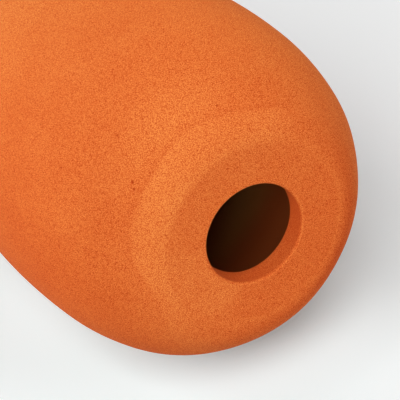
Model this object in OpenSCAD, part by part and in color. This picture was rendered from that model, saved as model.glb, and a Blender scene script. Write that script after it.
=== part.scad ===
// Terracotta watering spike: one hollow piece of fired clay, with a domed head, a round
// filling mouth in a flat ring, and a long body that tapers to a closed, rounded tip.
// It lies on the straight run of its side, as it comes to rest, with its mouth towards +X.

/* [Mouth] */
// Radius of the round filling mouth
mouth_r = 10; // [6:0.5:14]
// Rounding of the mouth's outer edge
mouth_round = 0.6; // [0.3:0.1:1.2]
// Rounding of the mouth's inner edge
inner_round = 0.4; // [0.2:0.1:0.8]
// Outer radius of the flat ring around the mouth
ring_r = 18; // [16:0.5:20]

/* [Head] */
// Radius of the shoulder that rounds off the flat ring
shoulder_r = 9; // [7:0.5:12]
// Slope of the surface at the shoulder's foot, in degrees from the ring's plane
shoulder_slope = 46; // [42:1:50]
// Radius of the dome below the shoulder, seen in section
dome_r = 33.5; // [30:0.5:38]
// Slope of the surface at the dome's foot
dome_slope = 74; // [70:1:78]
// Radius of the haunch that leads from the dome into the side, seen in section
haunch_r = 50; // [44:1:60]
// Slope of the surface at the haunch's foot
haunch_slope = 85; // [83:1:87]

/* [Body] */
// Length from the ring's plane to the end of the tip
body_len = 200; // [170:5:240]
// Radius of the side's long bulge, seen in section
side_r = 160; // [140:5:200]
// Radius of the rounded tip
tip_r = 6; // [5:0.5:8]

/* [Clay] */
// Thickness of the wall
wall = 4; // [3:0.5:5]
// Clay below the hollow, measured along the axis
tip_clay = 14; // [10:1:24]
// Radius of the hollow's rounded lower end
hollow_tip_r = 3; // [2:0.5:4]

/* [Hidden] */
$fn = 180;
// How far the straight steps of an arc may lie off the true arc
arc_error = 0.01;

// The section has its radius along X and its height along Y, with the ring's plane at height 0.
// A slope of 0 is a level top, 90 is an upright side, and more than 90 tapers downwards.
function facing(slope) = [sin(slope), cos(slope)];
// Foot of an arc about a centre, where the surface has the slope
function foot(centre, r, slope) = centre + r * facing(slope);
// Centre of an arc that runs on smoothly from a point with the slope
function centre_after(point, r, slope) = point - r * facing(slope);
// Slope of the straight line that touches two arcs on their outer side
function touching_slope(c1, r1, c2, r2) =
    asin((r1 - r2) / norm(c2 - c1)) - atan2(c2[1] - c1[1], c2[0] - c1[0]);
// Points of an arc between two slopes, less the first where the arc before it ends there
function arc(centre, r, from, to, first = 0) =
    let (steps = ceil(abs(to - from) / (2 * acos(1 - arc_error / r))))
    [for (i = [first:steps]) foot(centre, r, from + (to - from) * i / steps)];

shoulder_c = [ring_r, -shoulder_r];
dome_c = centre_after(foot(shoulder_c, shoulder_r, shoulder_slope), dome_r, shoulder_slope);
haunch_c = centre_after(foot(dome_c, dome_r, dome_slope), haunch_r, dome_slope);
side_c = centre_after(foot(haunch_c, haunch_r, haunch_slope), side_r, haunch_slope);
tip_c = [0, tip_r - body_len];
hollow_tip_c = [0, tip_clay + hollow_tip_r - body_len];
mouth_edge_c = [mouth_r + mouth_round, -mouth_round];
inner_edge_c = [mouth_r + inner_round, inner_round - wall];

// Outline from the flat ring down to the axis, set in by a depth, with its own rounded end
function outline(depth, end_c, end_r) =
    let (end_slope = touching_slope(side_c, side_r - depth, end_c, end_r))
    concat(
        arc(shoulder_c, shoulder_r - depth, 0, shoulder_slope),
        arc(dome_c, dome_r - depth, shoulder_slope, dome_slope, 1),
        arc(haunch_c, haunch_r - depth, dome_slope, haunch_slope, 1),
        arc(side_c, side_r - depth, haunch_slope, end_slope, 1),
        arc(end_c, end_r, end_slope, 180)
    );
function reversed(points) = [for (i = [len(points) - 1:-1:0]) points[i]];

// Resting place: the straight run of the side lies level, on the plane of height 0
rest_slope = touching_slope(side_c, side_r, tip_c, tip_r);
lean = rest_slope - 90;
rest_height = tip_c * facing(rest_slope) + tip_r;
reach_front = foot(shoulder_c, shoulder_r, lean) * facing(lean);
reach_back = tip_r - tip_c[1] * cos(lean);

// Half section of the clay: the outside, the hollow, and the mouth's two rounded edges
module clay_section() {
    polygon(concat(
        arc(mouth_edge_c, mouth_round, -90, 0),
        outline(0, tip_c, tip_r),
        reversed(outline(wall, hollow_tip_c, hollow_tip_r)),
        arc(inner_edge_c, inner_round, 180, 270)
    ));
}

module clay_spike() {
    color([0.86, 0.42, 0.19])
    translate([(reach_back - reach_front) / 2, 0, rest_height])
    rotate([0, 90 - lean, 0])
    rotate_extrude()
    clay_section();
}

clay_spike();
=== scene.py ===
import bpy
import numpy as np
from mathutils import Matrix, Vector


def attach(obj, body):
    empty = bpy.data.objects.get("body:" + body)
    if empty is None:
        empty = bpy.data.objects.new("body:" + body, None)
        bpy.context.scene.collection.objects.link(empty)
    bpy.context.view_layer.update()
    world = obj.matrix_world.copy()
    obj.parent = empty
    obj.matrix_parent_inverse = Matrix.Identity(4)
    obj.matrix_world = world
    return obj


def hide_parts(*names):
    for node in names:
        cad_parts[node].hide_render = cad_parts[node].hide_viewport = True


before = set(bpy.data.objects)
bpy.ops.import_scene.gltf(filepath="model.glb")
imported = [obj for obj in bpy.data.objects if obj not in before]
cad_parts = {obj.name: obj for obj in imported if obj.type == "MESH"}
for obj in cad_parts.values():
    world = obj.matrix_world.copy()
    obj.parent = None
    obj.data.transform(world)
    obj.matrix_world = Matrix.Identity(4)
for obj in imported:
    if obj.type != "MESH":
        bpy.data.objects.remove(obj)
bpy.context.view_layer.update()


# The watering spike.
# One hollow piece of unglazed red clay, cast in a plaster mould of two halves. The mouth was cut out
# of the flat ring, the shoulder round it was wiped with a wet sponge, and the piece was fired bare.

MM = 0.001
mouth_radius = 10.0
mouth_edge_radius = 0.6
bore_edge_radius = 0.5
bore_flare = 0.35
ring_radius = 18.0
shoulder_radius = 9.0
shoulder_slope = 46.0
dome_radius = 33.5
dome_slope = 74.0
haunch_radius = 50.0
haunch_slope = 85.0
side_radius = 160.0
spike_length = 200.0
tip_radius = 6.0
wall_thickness = 4.0
mouth_depth = 4.3
clay_in_tip = 14.0
hollow_tip_radius = 3.0
columns_round = 320
arc_steps = 90
edge_steps = 24


def facing(slope):
    """The way a wall of that slope faces, as (radius, height): the sine and cosine of the slope."""
    angle = np.radians(slope)
    return np.stack([np.sin(angle), np.cos(angle)], axis=-1)


def arc(centre, radius, start, end, steps=arc_steps):
    """Part of a circle: one radius from the centre, the way that each slope from start to end faces."""
    return centre + radius * facing(np.linspace(start, end, steps))


def centre_after(point, radius, slope):
    """Centre of the arc that goes on smoothly from a point: one radius back from where it faces."""
    return point - radius * facing(slope)


def touching_slope(first, first_radius, second, second_radius):
    """Slope of the straight wall that touches two circles: the arcsine of the difference of their
    radii over the distance between their centres, less the slant of the line between the centres."""
    run = second - first
    lean_in = np.arcsin((first_radius - second_radius) / np.hypot(run[0], run[1]))
    return np.degrees(lean_in - np.arctan2(run[1], run[0]))


shoulder_centre = np.array([ring_radius, -shoulder_radius])
shoulder_foot = shoulder_centre + shoulder_radius * facing(shoulder_slope)
dome_centre = centre_after(shoulder_foot, dome_radius, shoulder_slope)
dome_foot = dome_centre + dome_radius * facing(dome_slope)
haunch_centre = centre_after(dome_foot, haunch_radius, dome_slope)
haunch_foot = haunch_centre + haunch_radius * facing(haunch_slope)
side_centre = centre_after(haunch_foot, side_radius, haunch_slope)
tip_centre = np.array([0.0, tip_radius - spike_length])
hollow_tip_centre = np.array([0.0, clay_in_tip + hollow_tip_radius - spike_length])


def outline(depth, end_centre, end_radius):
    """Wall line from the flat ring to the tip, that deep in the clay: the arcs of shoulder, dome,
    haunch and side with their radii less the depth, then the end's arc on the line touching both."""
    end_slope = touching_slope(side_centre, side_radius - depth, end_centre, end_radius)
    return np.concatenate([
        arc(shoulder_centre, shoulder_radius - depth, 0, shoulder_slope),
        arc(dome_centre, dome_radius - depth, shoulder_slope, dome_slope),
        arc(haunch_centre, haunch_radius - depth, dome_slope, haunch_slope),
        arc(side_centre, side_radius - depth, haunch_slope, end_slope),
        arc(end_centre, end_radius, end_slope, 180),
    ])


def clay_section():
    """The clay's cut edge as one line of (radius, height): up the outside from the tip to the ring,
    round the mouth's edge, down the bore, round its inner edge and along the hollow to its end."""
    mouth_edge = arc(np.array([mouth_radius + mouth_edge_radius, -mouth_edge_radius]),
                     mouth_edge_radius, 0, -90, edge_steps)
    bore_bottom = mouth_radius + bore_flare
    bore_edge = arc(np.array([bore_bottom + bore_edge_radius, bore_edge_radius - mouth_depth]),
                    bore_edge_radius, -90, -180, edge_steps)
    hollow = outline(wall_thickness, hollow_tip_centre, hollow_tip_radius)
    hollow[hollow[:, 1] > -mouth_depth, 1] = -mouth_depth
    outer_wall = outline(0, tip_centre, tip_radius)[::-1]
    return np.concatenate([outer_wall, mouth_edge, bore_edge, hollow])


# How far apart the rows of the mesh lie, in mm: at each distance out of the mouth's edge, which is
# negative inside, the step to the next row. It is short at the edges and long at the tip.
row_steps = [(-200, 6), (-60, 2.6), (-8, 0.7), (-5.5, 0.2), (-4.6, 0.2), (-3.6, 0.2), (-3, 0.4),
             (-1.6, 0.4), (-1, 0.15), (0, 0.15), (2, 0.42), (18, 0.42), (50, 0.8), (215, 3)]


def stations(section):
    """Rows of the section as radius, height and distance out of the mouth: the way along the section
    is divided into steps, each as long as row_steps says for its place, read between its entries."""
    run = np.concatenate([[0.0], np.cumsum(np.hypot(*np.diff(section, axis=0).T))])
    on_ring = section[:, 1] >= -1e-9
    edge_start = run[np.argmax(on_ring & (section[:, 0] <= mouth_radius + mouth_edge_radius))]
    out_of_mouth = edge_start - run
    step = np.interp(out_of_mouth, *np.transpose(row_steps))
    counted = np.concatenate([[0.0], np.cumsum(np.diff(run) * 2 / (step[1:] + step[:-1]))])
    rows = np.interp(np.linspace(0, counted[-1], int(counted[-1])), counted, run)
    radius = np.interp(rows, run, section[:, 0])
    height = np.interp(rows, run, section[:, 1])
    return radius, height, edge_start - rows


radius, height, out_of_mouth = stations(clay_section())
turn = np.linspace(-180, 180, columns_round, endpoint=False)
reach, azimuth = np.meshgrid(out_of_mouth, turn, indexing="ij")


def bump(value, centre, width):
    """A soft hill of height 1: the exponential of minus the squared distance over the width."""
    return np.exp(-((value - centre) / width) ** 2)


def bump_round(centre, width):
    """The same hill over the azimuth in degrees, with the distance taken the short way round."""
    away = (azimuth - centre + 180) % 360 - 180
    return np.exp(-(away / width) ** 2)


def rise(value, start, end):
    """0 before start and 1 after end, with the cubic 3t^2 - 2t^3 between them."""
    share = np.clip((value - start) / (end - start), 0, 1)
    return share * share * (3 - 2 * share)


# Where the sponge stopped, as its distance out of the mouth: a little further up on top, nearer where
# it was held, and nearly even elsewhere.
sponge_edge = (15.3 + 1.0 * bump_round(-157, 17) - 3.9 * bump_round(-72, 21)
               + 0.6 * bump_round(40, 40) - 1.3 * bump_round(150, 45))

# The crease that it pressed just past there, strong on top and weaker on the far side.
crease = sponge_edge + 0.4
creased = bump_round(-145, 26) + 0.7 * bump_round(172, 16)

groove_depth = 0.035
bank_height = 0.02
seam_height = 0.03
seam_width = 1.1
swell_sunk = 0.05
flat_depth = 0.5
dome_fullness = 0.28
side_fullness = 0.12
seam_azimuth = -98.4
outside = reach > 0


def relief():
    """Height of the worked surface over the true one, in mm: the faint groove that the sponge left,
    the two trimmed mould seams as low ridges, slow hand-made swells as a sum of sines, a broad flat
    where the sponge took more of the shoulder, and four places where dome or side are fuller."""
    pressed = creased + 0.2
    groove = -groove_depth * pressed * bump(reach, crease, 0.45)
    bank = bank_height * pressed * bump(reach, crease - 1.3, 0.9)
    seams = bump_round(seam_azimuth, seam_width) + bump_round(seam_azimuth + 180, seam_width)
    ridge = seam_height * seams * rise(reach, 14, 18) * (0.7 + 0.3 * np.sin(reach / 3.1))
    around = np.radians(azimuth)
    swell = (0.035 * np.sin(2 * around + reach / 17 + 0.4) + 0.03 * np.sin(3 * around - reach / 11)
             + 0.015 * np.sin(5 * around + reach / 6.5 + 1.9) + 0.01 * np.sin(9 * around - reach / 4.3))
    swell = (swell - swell_sunk) * rise(reach, 3, 14) * rise(210 - reach, 0, 25)
    swell = swell * (1 - bump_round(0, 25))
    flat = -flat_depth * bump(reach, 14.5, 4.5) * bump_round(53, 27)
    fuller = dome_fullness * bump(reach, 23, 8) * (bump_round(106, 14) + bump_round(-29, 22))
    fuller = fuller + side_fullness * bump(reach, 46, 19) * (bump_round(-54, 22) + bump_round(143, 14))
    return np.where(outside, groove + bank + ridge + swell + flat + fuller, 0.0)


# How the mouth was cut by hand: the lean of its plane in degrees along x and y, and how far the cut,
# the shoulder and the inner edge sit aside, in mm.
mouth_lean = (-1.02, 2.32)
cut_offset = (0.52, 0.34)
shoulder_offset = (0.55, 0.45)
edge_pressed_in = 0.6


def clay_surface():
    """Points of the clay in its own upright frame: radius and height of each row, moved along the
    row's own facing by the relief, turned round the axis by the azimuth. The mouth's plane is tilted,
    fading out down the dome, the hand-cut mouth and the shoulder each sit a little off centre, and the
    inner edge of the bore is pressed in on one side."""
    along = np.stack([np.gradient(radius), np.gradient(height)], axis=-1)
    along = along / np.linalg.norm(along, axis=-1, keepdims=True)
    out_r, out_h = along[:, 1], -along[:, 0]
    lift = relief()
    near_bore_edge = rise(-reach, 1.0, 4.2) * (1 - rise(-reach, 5.5, 10))
    pressed_in = edge_pressed_in * bump_round(-45, 38) * near_bore_edge
    r = radius[:, None] + out_r[:, None] * lift - pressed_in
    h = height[:, None] + out_h[:, None] * lift
    around = np.radians(azimuth)
    x = r * np.cos(around)
    y = r * np.sin(around)
    near_mouth = np.where(outside, 1 - rise(reach, 8, 24), 1 - rise(-reach, 6, 30))
    lean_x, lean_y = np.tan(np.radians(mouth_lean))
    h = h + near_mouth * (x * lean_x + y * lean_y)
    on_shoulder = np.where(outside, rise(reach, 3, 8) * (1 - rise(reach, 12, 26)), 0.0)
    on_cut = np.where(outside, 1 - rise(reach, 1, 7), 1 - rise(-reach, 0.4, 4.4))
    x = x + shoulder_offset[0] * on_shoulder + cut_offset[0] * on_cut
    y = y + shoulder_offset[1] * on_shoulder + cut_offset[1] * on_cut
    return np.stack([x, y, h], axis=-1)


def lying_down(points):
    """From the upright frame to the one it lies in, in metres: it rests along the straight line that
    touches side and tip, so it turns by that line's lean and moves until the line is on the floor."""
    rest_slope = touching_slope(side_centre, side_radius, tip_centre, tip_radius)
    lean = rest_slope - 90
    rest_height = tip_centre @ facing(rest_slope) + tip_radius
    front = (shoulder_centre + shoulder_radius * facing(lean)) @ facing(lean)
    back = tip_radius - tip_centre[1] * np.cos(np.radians(lean))
    low, up = np.sin(np.radians(lean)), np.cos(np.radians(lean))
    turned = np.array([[low, 0, up], [0, 1, 0], [-up, 0, low]])
    return (points @ turned.T + np.array([(back - front) / 2, 0, rest_height])) * MM


def closed_mesh(name, grid):
    """Mesh of a closed surface of rows and columns: each cell between two rows is one face, the
    columns join up all the way round, and the first and last rows shrink to one point each."""
    rows, columns = grid.shape[:2]
    first_pole = grid[0].mean(axis=0, keepdims=True)
    last_pole = grid[-1].mean(axis=0, keepdims=True)
    points = np.concatenate([first_pole, grid[1:-1].reshape(-1, 3), last_pole])
    ring = np.arange(columns)
    after = (ring + 1) % columns
    start = 1 + columns * np.arange(rows - 3)[:, None]
    below = start + columns
    cells = np.stack([start + ring, start + after, below + after, below + ring], axis=-1)
    last = len(points) - 1
    first_fan = np.stack([np.zeros(columns, int), 1 + after, 1 + ring], axis=-1)
    last_ring = last - columns
    last_fan = np.stack([last_ring + ring, last_ring + after, np.full(columns, last)], axis=-1)
    mesh = bpy.data.meshes.new(name)
    faces = first_fan.tolist() + cells.reshape(-1, 4).tolist() + last_fan.tolist()
    mesh.from_pydata(points.tolist(), [], faces)
    mesh.polygons.foreach_set("use_smooth", np.ones(len(mesh.polygons), bool))
    mesh.update()
    return mesh


def on_points(values):
    """One value for each point of closed_mesh: the mean of the end rows, and the rest as they are."""
    return np.concatenate([[values[0].mean()], values[1:-1].ravel(), [values[-1].mean()]])


def between(centre, half_width, edge):
    """1 within that many degrees of the centre azimuth, falling to 0 over the edge on either side."""
    away = np.abs((azimuth - centre + 180) % 360 - 180)
    return 1 - rise(away, half_width, half_width + edge)


# Soft patches of the outside, paler (+) or redder (-). They are partly the clay's own uneven colour, partly
# painted shade on the shoulder's sides that turn from the light, and partly painted light on top: how much,
# then the reach and its half width in mm, and the azimuth and its half width in degrees.
tone_and_shade_patches = [
    (-0.65, (11.5, 3.2), (62, 70)),  # the flattened side of the shoulder
    (-0.75, (10.4, 1.7), (58, 50)),  # a narrow redder band along it, next to the ring
    (-0.35, (14, 4), (-8, 22)),  # the underside of the shoulder
    (-0.3, (15, 6), (112, 25)),  # the far side of the shoulder
    (0.45, (19.5, 5.5), (-152, 24)),  # on top, just past the sponge's edge
    (-0.2, (18, 4), (160, 16)),  # beside it, on the far side
]


def clay_tone_and_shade():
    """How pale the clay is painted, from -1, deep red, to 1, pale sand: one hill or band for each patch,
    all added up. Some are marks that a hand, the sponge or the plaster left. Painted shade makes the
    shoulder's sides that turn from the light, the lower half, the crease and the bore darker, and painted
    light makes the top paler."""
    sponged = rise(reach, 7.2, 8.6) * (1 - rise(reach, sponge_edge - 0.6, sponge_edge + 0.3))
    tone = sponged * (0.28 * between(-126, 74, 12) + 0.3 * bump_round(-132, 20) + 0.2 * bump_round(-84, 16))
    tone = tone + 0.15 * sponged * bump_round(168, 8)
    on_ring = 1 - rise(reach, 6.8, 7.8)
    thumbed = rise(azimuth, -100, -88) * (1 - rise(azimuth + 1.7 * reach, -25, -19))
    tone = tone + on_ring * (0.36 * thumbed - 0.22 * between(52, 66, 10) - 0.16)
    # Patches that are partly the clay's own colour and partly painted shade and painted light.
    for amount, place_along, place_round in tone_and_shade_patches:
        tone = tone + amount * bump(reach, *place_along) * bump_round(*place_round)
    below_seam = rise(azimuth, seam_azimuth - 1.2, seam_azimuth + 1.2)
    above_seam = 1 - below_seam * (azimuth < 90)
    tone = tone - 0.25 * bump(reach, 20.5, 4) * bump_round(-107, 9) * above_seam
    # Painted light: the top and the lit side paler towards the tail.
    tone = tone + 0.5 * rise(reach, 42, 88) * between(-150, 60, 40)
    # Painted shade: the lower half of the body darker and redder.
    lower_half = below_seam * (1 - rise(azimuth, -5, 40))
    tone = tone - 0.6 * lower_half * (0.35 + 0.65 * rise(azimuth, -96, -70)) * rise(reach, 12, 24)
    tone = tone - 0.4 * rise(reach, 24, 42) * bump_round(-100, 22)
    # Painted shade in the sponge's crease.
    tone = tone - 0.25 * bump(reach, crease, 0.5) * creased
    # Painted shade on the bore's wall: darker all round, most on one side, with a lighter stretch on
    # another.
    cut_face = rise(-reach, 0.3, 0.9) * (1 - rise(-reach, 4.4, 4.8))
    painted_bore_shade = -1.6 - 0.5 * bump_round(106, 26) + 0.7 * bump_round(32, 30)
    return np.where(outside, tone, painted_bore_shade * cut_face)


# Painted shade: the share of the darker inner brown on the bore's wall.
bore_shade_share = 0.28


def paint(mesh, name, values):
    """Stores one value for each point of the mesh as an attribute that the material reads by name."""
    attribute = mesh.attributes.new(name, "FLOAT", "POINT")
    attribute.data.foreach_set("value", on_points(values).astype(np.float32))


clay_points = lying_down(clay_surface())
clay = bpy.data.objects.new("fired_clay_spike", closed_mesh("fired_clay_spike", clay_points))
bpy.context.scene.collection.objects.link(clay)
paint(clay.data, "tone", clay_tone_and_shade())
# Painted shade in the bore and the hollow, as a share of the darker inner brown, and deeper in, painted
# light towards a paler brown.
in_mouth, in_hollow = rise(-reach, 0.3, 0.9), rise(-reach, 4.3, 5.2)
paint(clay.data, "hollow", bore_shade_share * in_mouth + (1 - bore_shade_share) * in_hollow)
paint(clay.data, "deep", rise(-reach, 46, 65))


def add_node(material, kind, inputs, **settings):
    """Adds one shader node: settings are its own options, and each input takes a number or a link."""
    made = material.node_tree.nodes.new(kind)
    for name, value in settings.items():
        setattr(made, name, value)
    for name, value in inputs.items():
        if isinstance(value, bpy.types.NodeSocket):
            material.node_tree.links.new(value, made.inputs[name])
        else:
            made.inputs[name].default_value = value
    return made


# Small holes where a bubble or a grain came away: reach, azimuth and half width, in mm and degrees.
pits = [(17.9, -128.3, 0.3), (16.9, -126.4, 0.26), (24.8, -139.2, 0.2), (32.3, -120.8, 0.2),
        (37.1, -113.0, 0.18), (42.1, -128.1, 0.2), (38.2, -96.9, 0.2), (11.0, 176.8, 0.18),
        (16.7, -174.5, 0.2), (60.0, 128.0, 0.3), (95.0, -40.0, 0.25), (28.0, 40.0, 0.25)]


def place_on_clay(far, angle):
    """Where a point of the surface lies: the grid's point nearest to that reach and azimuth."""
    row = np.argmin(np.abs(out_of_mouth - far))
    column = np.argmin(np.abs(turn - angle))
    return tuple(clay_points[row, column])


clay_red = (0.56, 0.060, 0.006, 1)
clay_orange = (0.772, 0.151, 0.0245, 1)
clay_sand = (0.97, 0.38, 0.088, 1)
# Painted shade inside, and painted light deep inside.
painted_shade_brown = (0.43, 0.088, 0.017, 1)
painted_light_brown = (0.69, 0.34, 0.085, 1)
even_paleness = 0.535

# Sizes of the pattern, as the number of grains, mottles and clouds in a metre, and how much each
# changes the paleness.
grains_in_metre = 5600.0
mottles_in_metre = 900.0
clouds_in_metre = 90.0
tone_share = 0.25
cloud_share = 0.14
mottle_share = 0.05
grain_share = 0.15
grain_edge_share = -1.05
# Painted shade: how much darker the pits are painted.
pit_shade_share = -0.6
pit_in_grit = 3.0
grit_height = 0.05 * MM
grit_strength = 0.3


def fired_clay():
    """Bare red earthenware: fine sand grains, each its own shade and each a low bump, under slow
    clouds where it dried unevenly, with a few small pits, painted darker as shade; the inside is a
    darker brown, painted shade, and deep inside a paler one, painted light."""
    material = bpy.data.materials.new("fired_clay")
    material.use_nodes = True
    shader = material.node_tree.nodes["Principled BSDF"]
    place = add_node(material, "ShaderNodeTexCoord", {}).outputs["Object"]
    tone = add_node(material, "ShaderNodeAttribute", {}, attribute_name="tone").outputs["Fac"]
    hollow = add_node(material, "ShaderNodeAttribute", {}, attribute_name="hollow").outputs["Fac"]
    deep = add_node(material, "ShaderNodeAttribute", {}, attribute_name="deep").outputs["Fac"]
    sand = add_node(material, "ShaderNodeTexVoronoi", {"Vector": place, "Scale": grains_in_metre})
    shade = add_node(material, "ShaderNodeSeparateColor", {"Color": sand.outputs["Color"]}).outputs[0]
    mottle = add_node(material, "ShaderNodeTexNoise",
                      {"Vector": place, "Scale": mottles_in_metre, "Detail": 1.0}).outputs["Fac"]
    cloud = add_node(material, "ShaderNodeTexNoise",
                     {"Vector": place, "Scale": clouds_in_metre, "Detail": 2.0}).outputs["Fac"]

    def weighed(first, second, amount):
        """first plus amount times second, where second runs round one half."""
        offset = add_node(material, "ShaderNodeMath", {0: second, 1: -0.5}, operation="ADD").outputs[0]
        return add_node(material, "ShaderNodeMath", {0: offset, 1: amount, 2: first},
                        operation="MULTIPLY_ADD").outputs[0]

    hole = 0.0
    for far, angle, half_width in pits:
        away = add_node(material, "ShaderNodeVectorMath", {0: place, 1: place_on_clay(far, angle)},
                        operation="DISTANCE").outputs["Value"]
        full, edge = 0.4 * half_width * MM, 1.3 * half_width * MM
        depth = add_node(material, "ShaderNodeMapRange",
                         {"Value": away, "From Min": full, "From Max": edge, "To Min": 1.0, "To Max": 0.0},
                         interpolation_type="SMOOTHSTEP").outputs["Result"]
        hole = add_node(material, "ShaderNodeMath", {0: depth, 1: hole}, operation="MAXIMUM").outputs[0]

    paleness = add_node(material, "ShaderNodeMath", {0: tone, 1: tone_share, 2: even_paleness},
                        operation="MULTIPLY_ADD").outputs[0]
    paleness = weighed(paleness, cloud, cloud_share)
    paleness = weighed(paleness, mottle, mottle_share)
    paleness = weighed(paleness, shade, grain_share)
    paleness = weighed(paleness, sand.outputs["Distance"], grain_edge_share)
    # Painted shade in the pits.
    paleness = add_node(material, "ShaderNodeMath", {0: hole, 1: pit_shade_share, 2: paleness},
                        operation="MULTIPLY_ADD").outputs[0]
    colour = add_node(material, "ShaderNodeValToRGB", {"Fac": paleness})
    colour.color_ramp.elements[0].color = clay_red
    colour.color_ramp.elements[1].color = clay_sand
    colour.color_ramp.elements.new(0.5).color = clay_orange
    # Painted shade inside, with painted light deep inside.
    inner = add_node(material, "ShaderNodeMix", {0: deep, 6: painted_shade_brown, 7: painted_light_brown},
                     data_type="RGBA").outputs[2]
    skin = add_node(material, "ShaderNodeMix", {0: hollow, 6: colour.outputs["Color"], 7: inner},
                    data_type="RGBA").outputs[2]
    material.node_tree.links.new(skin, shader.inputs["Base Color"])

    grain = weighed(sand.outputs["Distance"], mottle, -0.5)
    pitted = add_node(material, "ShaderNodeMath", {0: hole, 1: pit_in_grit, 2: grain},
                      operation="MULTIPLY_ADD").outputs[0]
    grit = add_node(material, "ShaderNodeBump",
                    {"Height": pitted, "Strength": grit_strength, "Distance": grit_height}, invert=True)
    material.node_tree.links.new(grit.outputs["Normal"], shader.inputs["Normal"])
    shader.inputs["Roughness"].default_value = 0.9
    shader.inputs["Specular IOR Level"].default_value = 0.15
    shader.inputs["Diffuse Roughness"].default_value = 0.6
    return material


clay.data.materials.append(fired_clay())
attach(clay, "root")
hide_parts("clay_spike")


# The studio table.
# A wide sheet of pale grey laminate that the spike lies on. It isn't part of the object: it takes the
# soft shadow, and further off it is seen as plain as the pale room behind it.

table_near = (0.80, 0.99, 1.0)
table_far = (0.91, 0.925, 0.925)
table_felt = 0.5
table_glow = 0.163
room_grey = 0.855
body_middle = (0.02, -0.006, 0.0)
body_half_length = 0.04
tint_fades = (0.012, 0.080)

# Painted shadow and painted light on the table, where its glow is a little less or more: the middle
# and half widths in metres, and how much.
painted_shadow_and_light_hills = [
    ((0.049, 0.010), (0.034, 0.026), -0.18),  # under the belly, close to where it touches
    ((0.078, 0.015), (0.015, 0.028), -0.32),  # close under the head
    ((0.084, 0.015), (0.017, 0.035), 0.20),  # just in front of it
    ((0.055, 0.036), (0.028, 0.020), -0.10),  # behind the head, where the key doesn't reach
    ((0.047, -0.012), (0.037, 0.031), 0.13),  # along the lit side
    ((0.03, -0.10), (0.17, 0.06), -0.14),  # further out towards the key
]
spike_middle = (0.005, 0.030)
spike_surroundings = (0.125, 0.088)
surroundings_fade = (0.95, 1.9)


def table_top():
    """Flat sheet under the object: one face, with its corners at plus and minus its half width."""
    half = 3.0
    mesh = bpy.data.meshes.new("table_top")
    corners = [(-half, -half, 0), (half, -half, 0), (half, half, 0), (-half, half, 0)]
    mesh.from_pydata(corners, [], [(0, 1, 2, 3)])
    return bpy.data.objects.new("table_top", mesh)


def seen_directly(tree):
    """1 for what the camera sees straight, in a gloss or through glass, and 0 for all other light."""
    path = tree.nodes.new("ShaderNodeLightPath")
    either = tree.nodes.new("ShaderNodeMath")
    either.operation = "ADD"
    tree.links.new(path.outputs["Is Camera Ray"], either.inputs[0])
    tree.links.new(path.outputs["Is Glossy Ray"], either.inputs[1])
    both = tree.nodes.new("ShaderNodeMath")
    both.operation = "ADD"
    both.use_clamp = True
    tree.links.new(either.outputs[0], both.inputs[0])
    tree.links.new(path.outputs["Is Transmission Ray"], both.inputs[1])
    return both.outputs[0]


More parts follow.
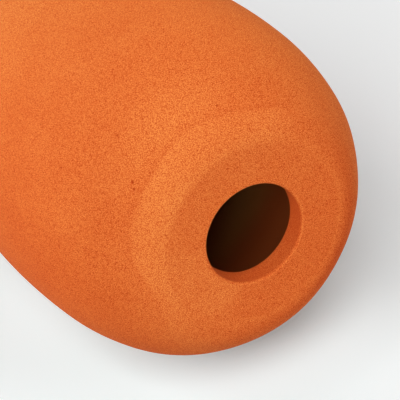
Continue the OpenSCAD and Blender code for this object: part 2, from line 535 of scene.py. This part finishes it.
def pale_laminate():
    """Matt pale grey, with a faint glow where it is seen. Close to the thick half of the spike it is
    seen cooler, by the distance from its middle line, which evens out the red light from the clay.
    The glow has soft hills and hollows of painted light and painted shadow, so that the shadow is deep
    where the head is close and soon ends. Outside an ellipse round the spike the glow takes over, so
    that it meets the room without an edge."""
    material = bpy.data.materials.new("pale_laminate")
    material.use_nodes = True
    tree = material.node_tree
    shader = tree.nodes["Principled BSDF"]
    seen = seen_directly(tree)
    place = add_node(material, "ShaderNodeTexCoord", {}).outputs["Object"]

    def ramp(value, start, end, first, last):
        """first up to the start, last from the end, and a soft step between them."""
        limits = {"From Min": start, "From Max": end, "To Min": first, "To Max": last}
        return add_node(material, "ShaderNodeMapRange", {"Value": value, **limits},
                        interpolation_type="SMOOTHSTEP").outputs["Result"]

    def mixed(share, first, second):
        """Colour between the first, at share 0, and the second, at share 1."""
        return add_node(material, "ShaderNodeMix", {0: share, 6: first, 7: second},
                        data_type="RGBA").outputs[2]

    def out_from(middle, half_widths):
        """Distance from a middle, counted in half widths: the length of the offset over them."""
        offset = add_node(material, "ShaderNodeVectorMath", {0: place, 1: (*middle, 0.0)},
                          operation="SUBTRACT").outputs[0]
        offset = add_node(material, "ShaderNodeVectorMath", {0: offset, 1: (*half_widths, 1.0)},
                          operation="DIVIDE").outputs[0]
        return add_node(material, "ShaderNodeVectorMath", {0: offset}, operation="LENGTH").outputs["Value"]

    from_body = add_node(material, "ShaderNodeVectorMath", {0: place, 1: body_middle},
                         operation="SUBTRACT").outputs[0]
    apart = add_node(material, "ShaderNodeSeparateXYZ", {0: from_body})
    along = add_node(material, "ShaderNodeMath", {0: apart.outputs["X"]}, operation="ABSOLUTE").outputs[0]
    past_end = add_node(material, "ShaderNodeMath", {0: along, 1: -body_half_length},
                        operation="ADD").outputs[0]
    beyond = add_node(material, "ShaderNodeMath", {0: past_end, 1: 0.0}, operation="MAXIMUM").outputs[0]
    offset = add_node(material, "ShaderNodeCombineXYZ", {"X": beyond, "Y": apart.outputs["Y"]}).outputs[0]
    away = add_node(material, "ShaderNodeVectorMath", {0: offset}, operation="LENGTH").outputs["Value"]
    limits = {"From Min": tint_fades[0], "From Max": tint_fades[1]}
    fading = add_node(material, "ShaderNodeMapRange", {"Value": away, **limits}).outputs["Result"]
    cool = mixed(fading, (*table_near, 1), (*table_far, 1))
    far_off = ramp(out_from(spike_middle, spike_surroundings), *surroundings_fade, 0.0, 1.0)
    plain = mixed(far_off, cool, (0, 0, 0, 1))
    grey = mixed(seen, (table_felt, table_felt, table_felt, 1), plain)
    tree.links.new(grey, shader.inputs["Base Color"])

    glow = table_glow
    # Painted shadow and painted light: each hill adds to or takes from the glow.
    for middle, half_widths, height in painted_shadow_and_light_hills:
        hill = ramp(out_from(middle, half_widths), 0.0, 1.0, height, 0.0)
        glow = add_node(material, "ShaderNodeMath", {0: glow, 1: hill}, operation="ADD").outputs[0]
    glow = add_node(material, "ShaderNodeMath", {0: glow, 1: 0.0}, operation="MAXIMUM").outputs[0]
    glow = add_node(material, "ShaderNodeMix", {0: far_off, 2: glow, 3: room_grey}).outputs[0]
    glow = add_node(material, "ShaderNodeMath", {0: seen, 1: glow}, operation="MULTIPLY").outputs[0]
    tree.links.new(glow, shader.inputs["Emission Strength"])
    shader.inputs["Roughness"].default_value = 0.8
    shader.inputs["Specular IOR Level"].default_value = 0.0
    return material


table = table_top()
bpy.context.scene.collection.objects.link(table)
table.data.materials.append(pale_laminate())


# The studio light.
# One large soft box from the left lights the clay, one on the right and a low one behind it fill the
# shadow, and two weak ones stand above. All are at arm's length, and the room gives no light.

head_middle = Vector((0.08, 0, 0.03))
lamp_distance = 1.2


def softbox(name, bearing, elevation, size, watts):
    """Lamp with that width and height, facing the middle of the spike's head from the lamps' distance:
    its place lies that far along the direction with that bearing from +X and angle over the table."""
    level, up = np.cos(np.radians(elevation)), np.sin(np.radians(elevation))
    away = Vector((level * np.cos(np.radians(bearing)), level * np.sin(np.radians(bearing)), up))
    lamp = bpy.data.lights.new(name, "AREA")
    lamp.shape = "RECTANGLE"
    lamp.size, lamp.size_y = size
    lamp.energy = watts
    holder = bpy.data.objects.new(name, lamp)
    bpy.context.scene.collection.objects.link(holder)
    holder.location = head_middle + away * lamp_distance
    holder.rotation_euler = (-away).to_track_quat("-Z", "Y").to_euler()
    holder.visible_camera = False


softbox("key", 301, 43, (0.95, 0.9), 13.6)
softbox("right", 45, 25, (0.8, 0.6), 5.3)
softbox("low_back", 212, 15, (0.7, 0.5), 3.5)
softbox("high_back", 180, 65, (1.0, 1.0), 1.2)
softbox("high_side", 120, 55, (0.9, 0.9), 1.4)

world = bpy.data.worlds.new("room")
bpy.context.scene.world = world
world.use_nodes = True
room = world.node_tree.nodes["Background"]
room.inputs["Color"].default_value = (room_grey, room_grey, room_grey, 1)
world.node_tree.links.new(seen_directly(world.node_tree), room.inputs["Strength"])


# The camera.
# A long lens close to the mouth, above it and a little to the left, so that the tip runs out of view.

camera_data = bpy.data.cameras.new("camera")
camera_data.lens = 180
camera_data.sensor_width = 36
camera_data.clip_start = 0.01
camera = bpy.data.objects.new("camera", camera_data)
bpy.context.scene.collection.objects.link(camera)
eye = Vector((0.3316, -0.1534, 0.2867))
aim = Vector((0.0829, -0.0036, 0.0458))
camera.location = eye
camera.rotation_euler = (aim - eye).to_track_quat("-Z", "Y").to_euler()
bpy.context.scene.camera = camera
bpy.context.scene.view_settings.view_transform = "Standard"
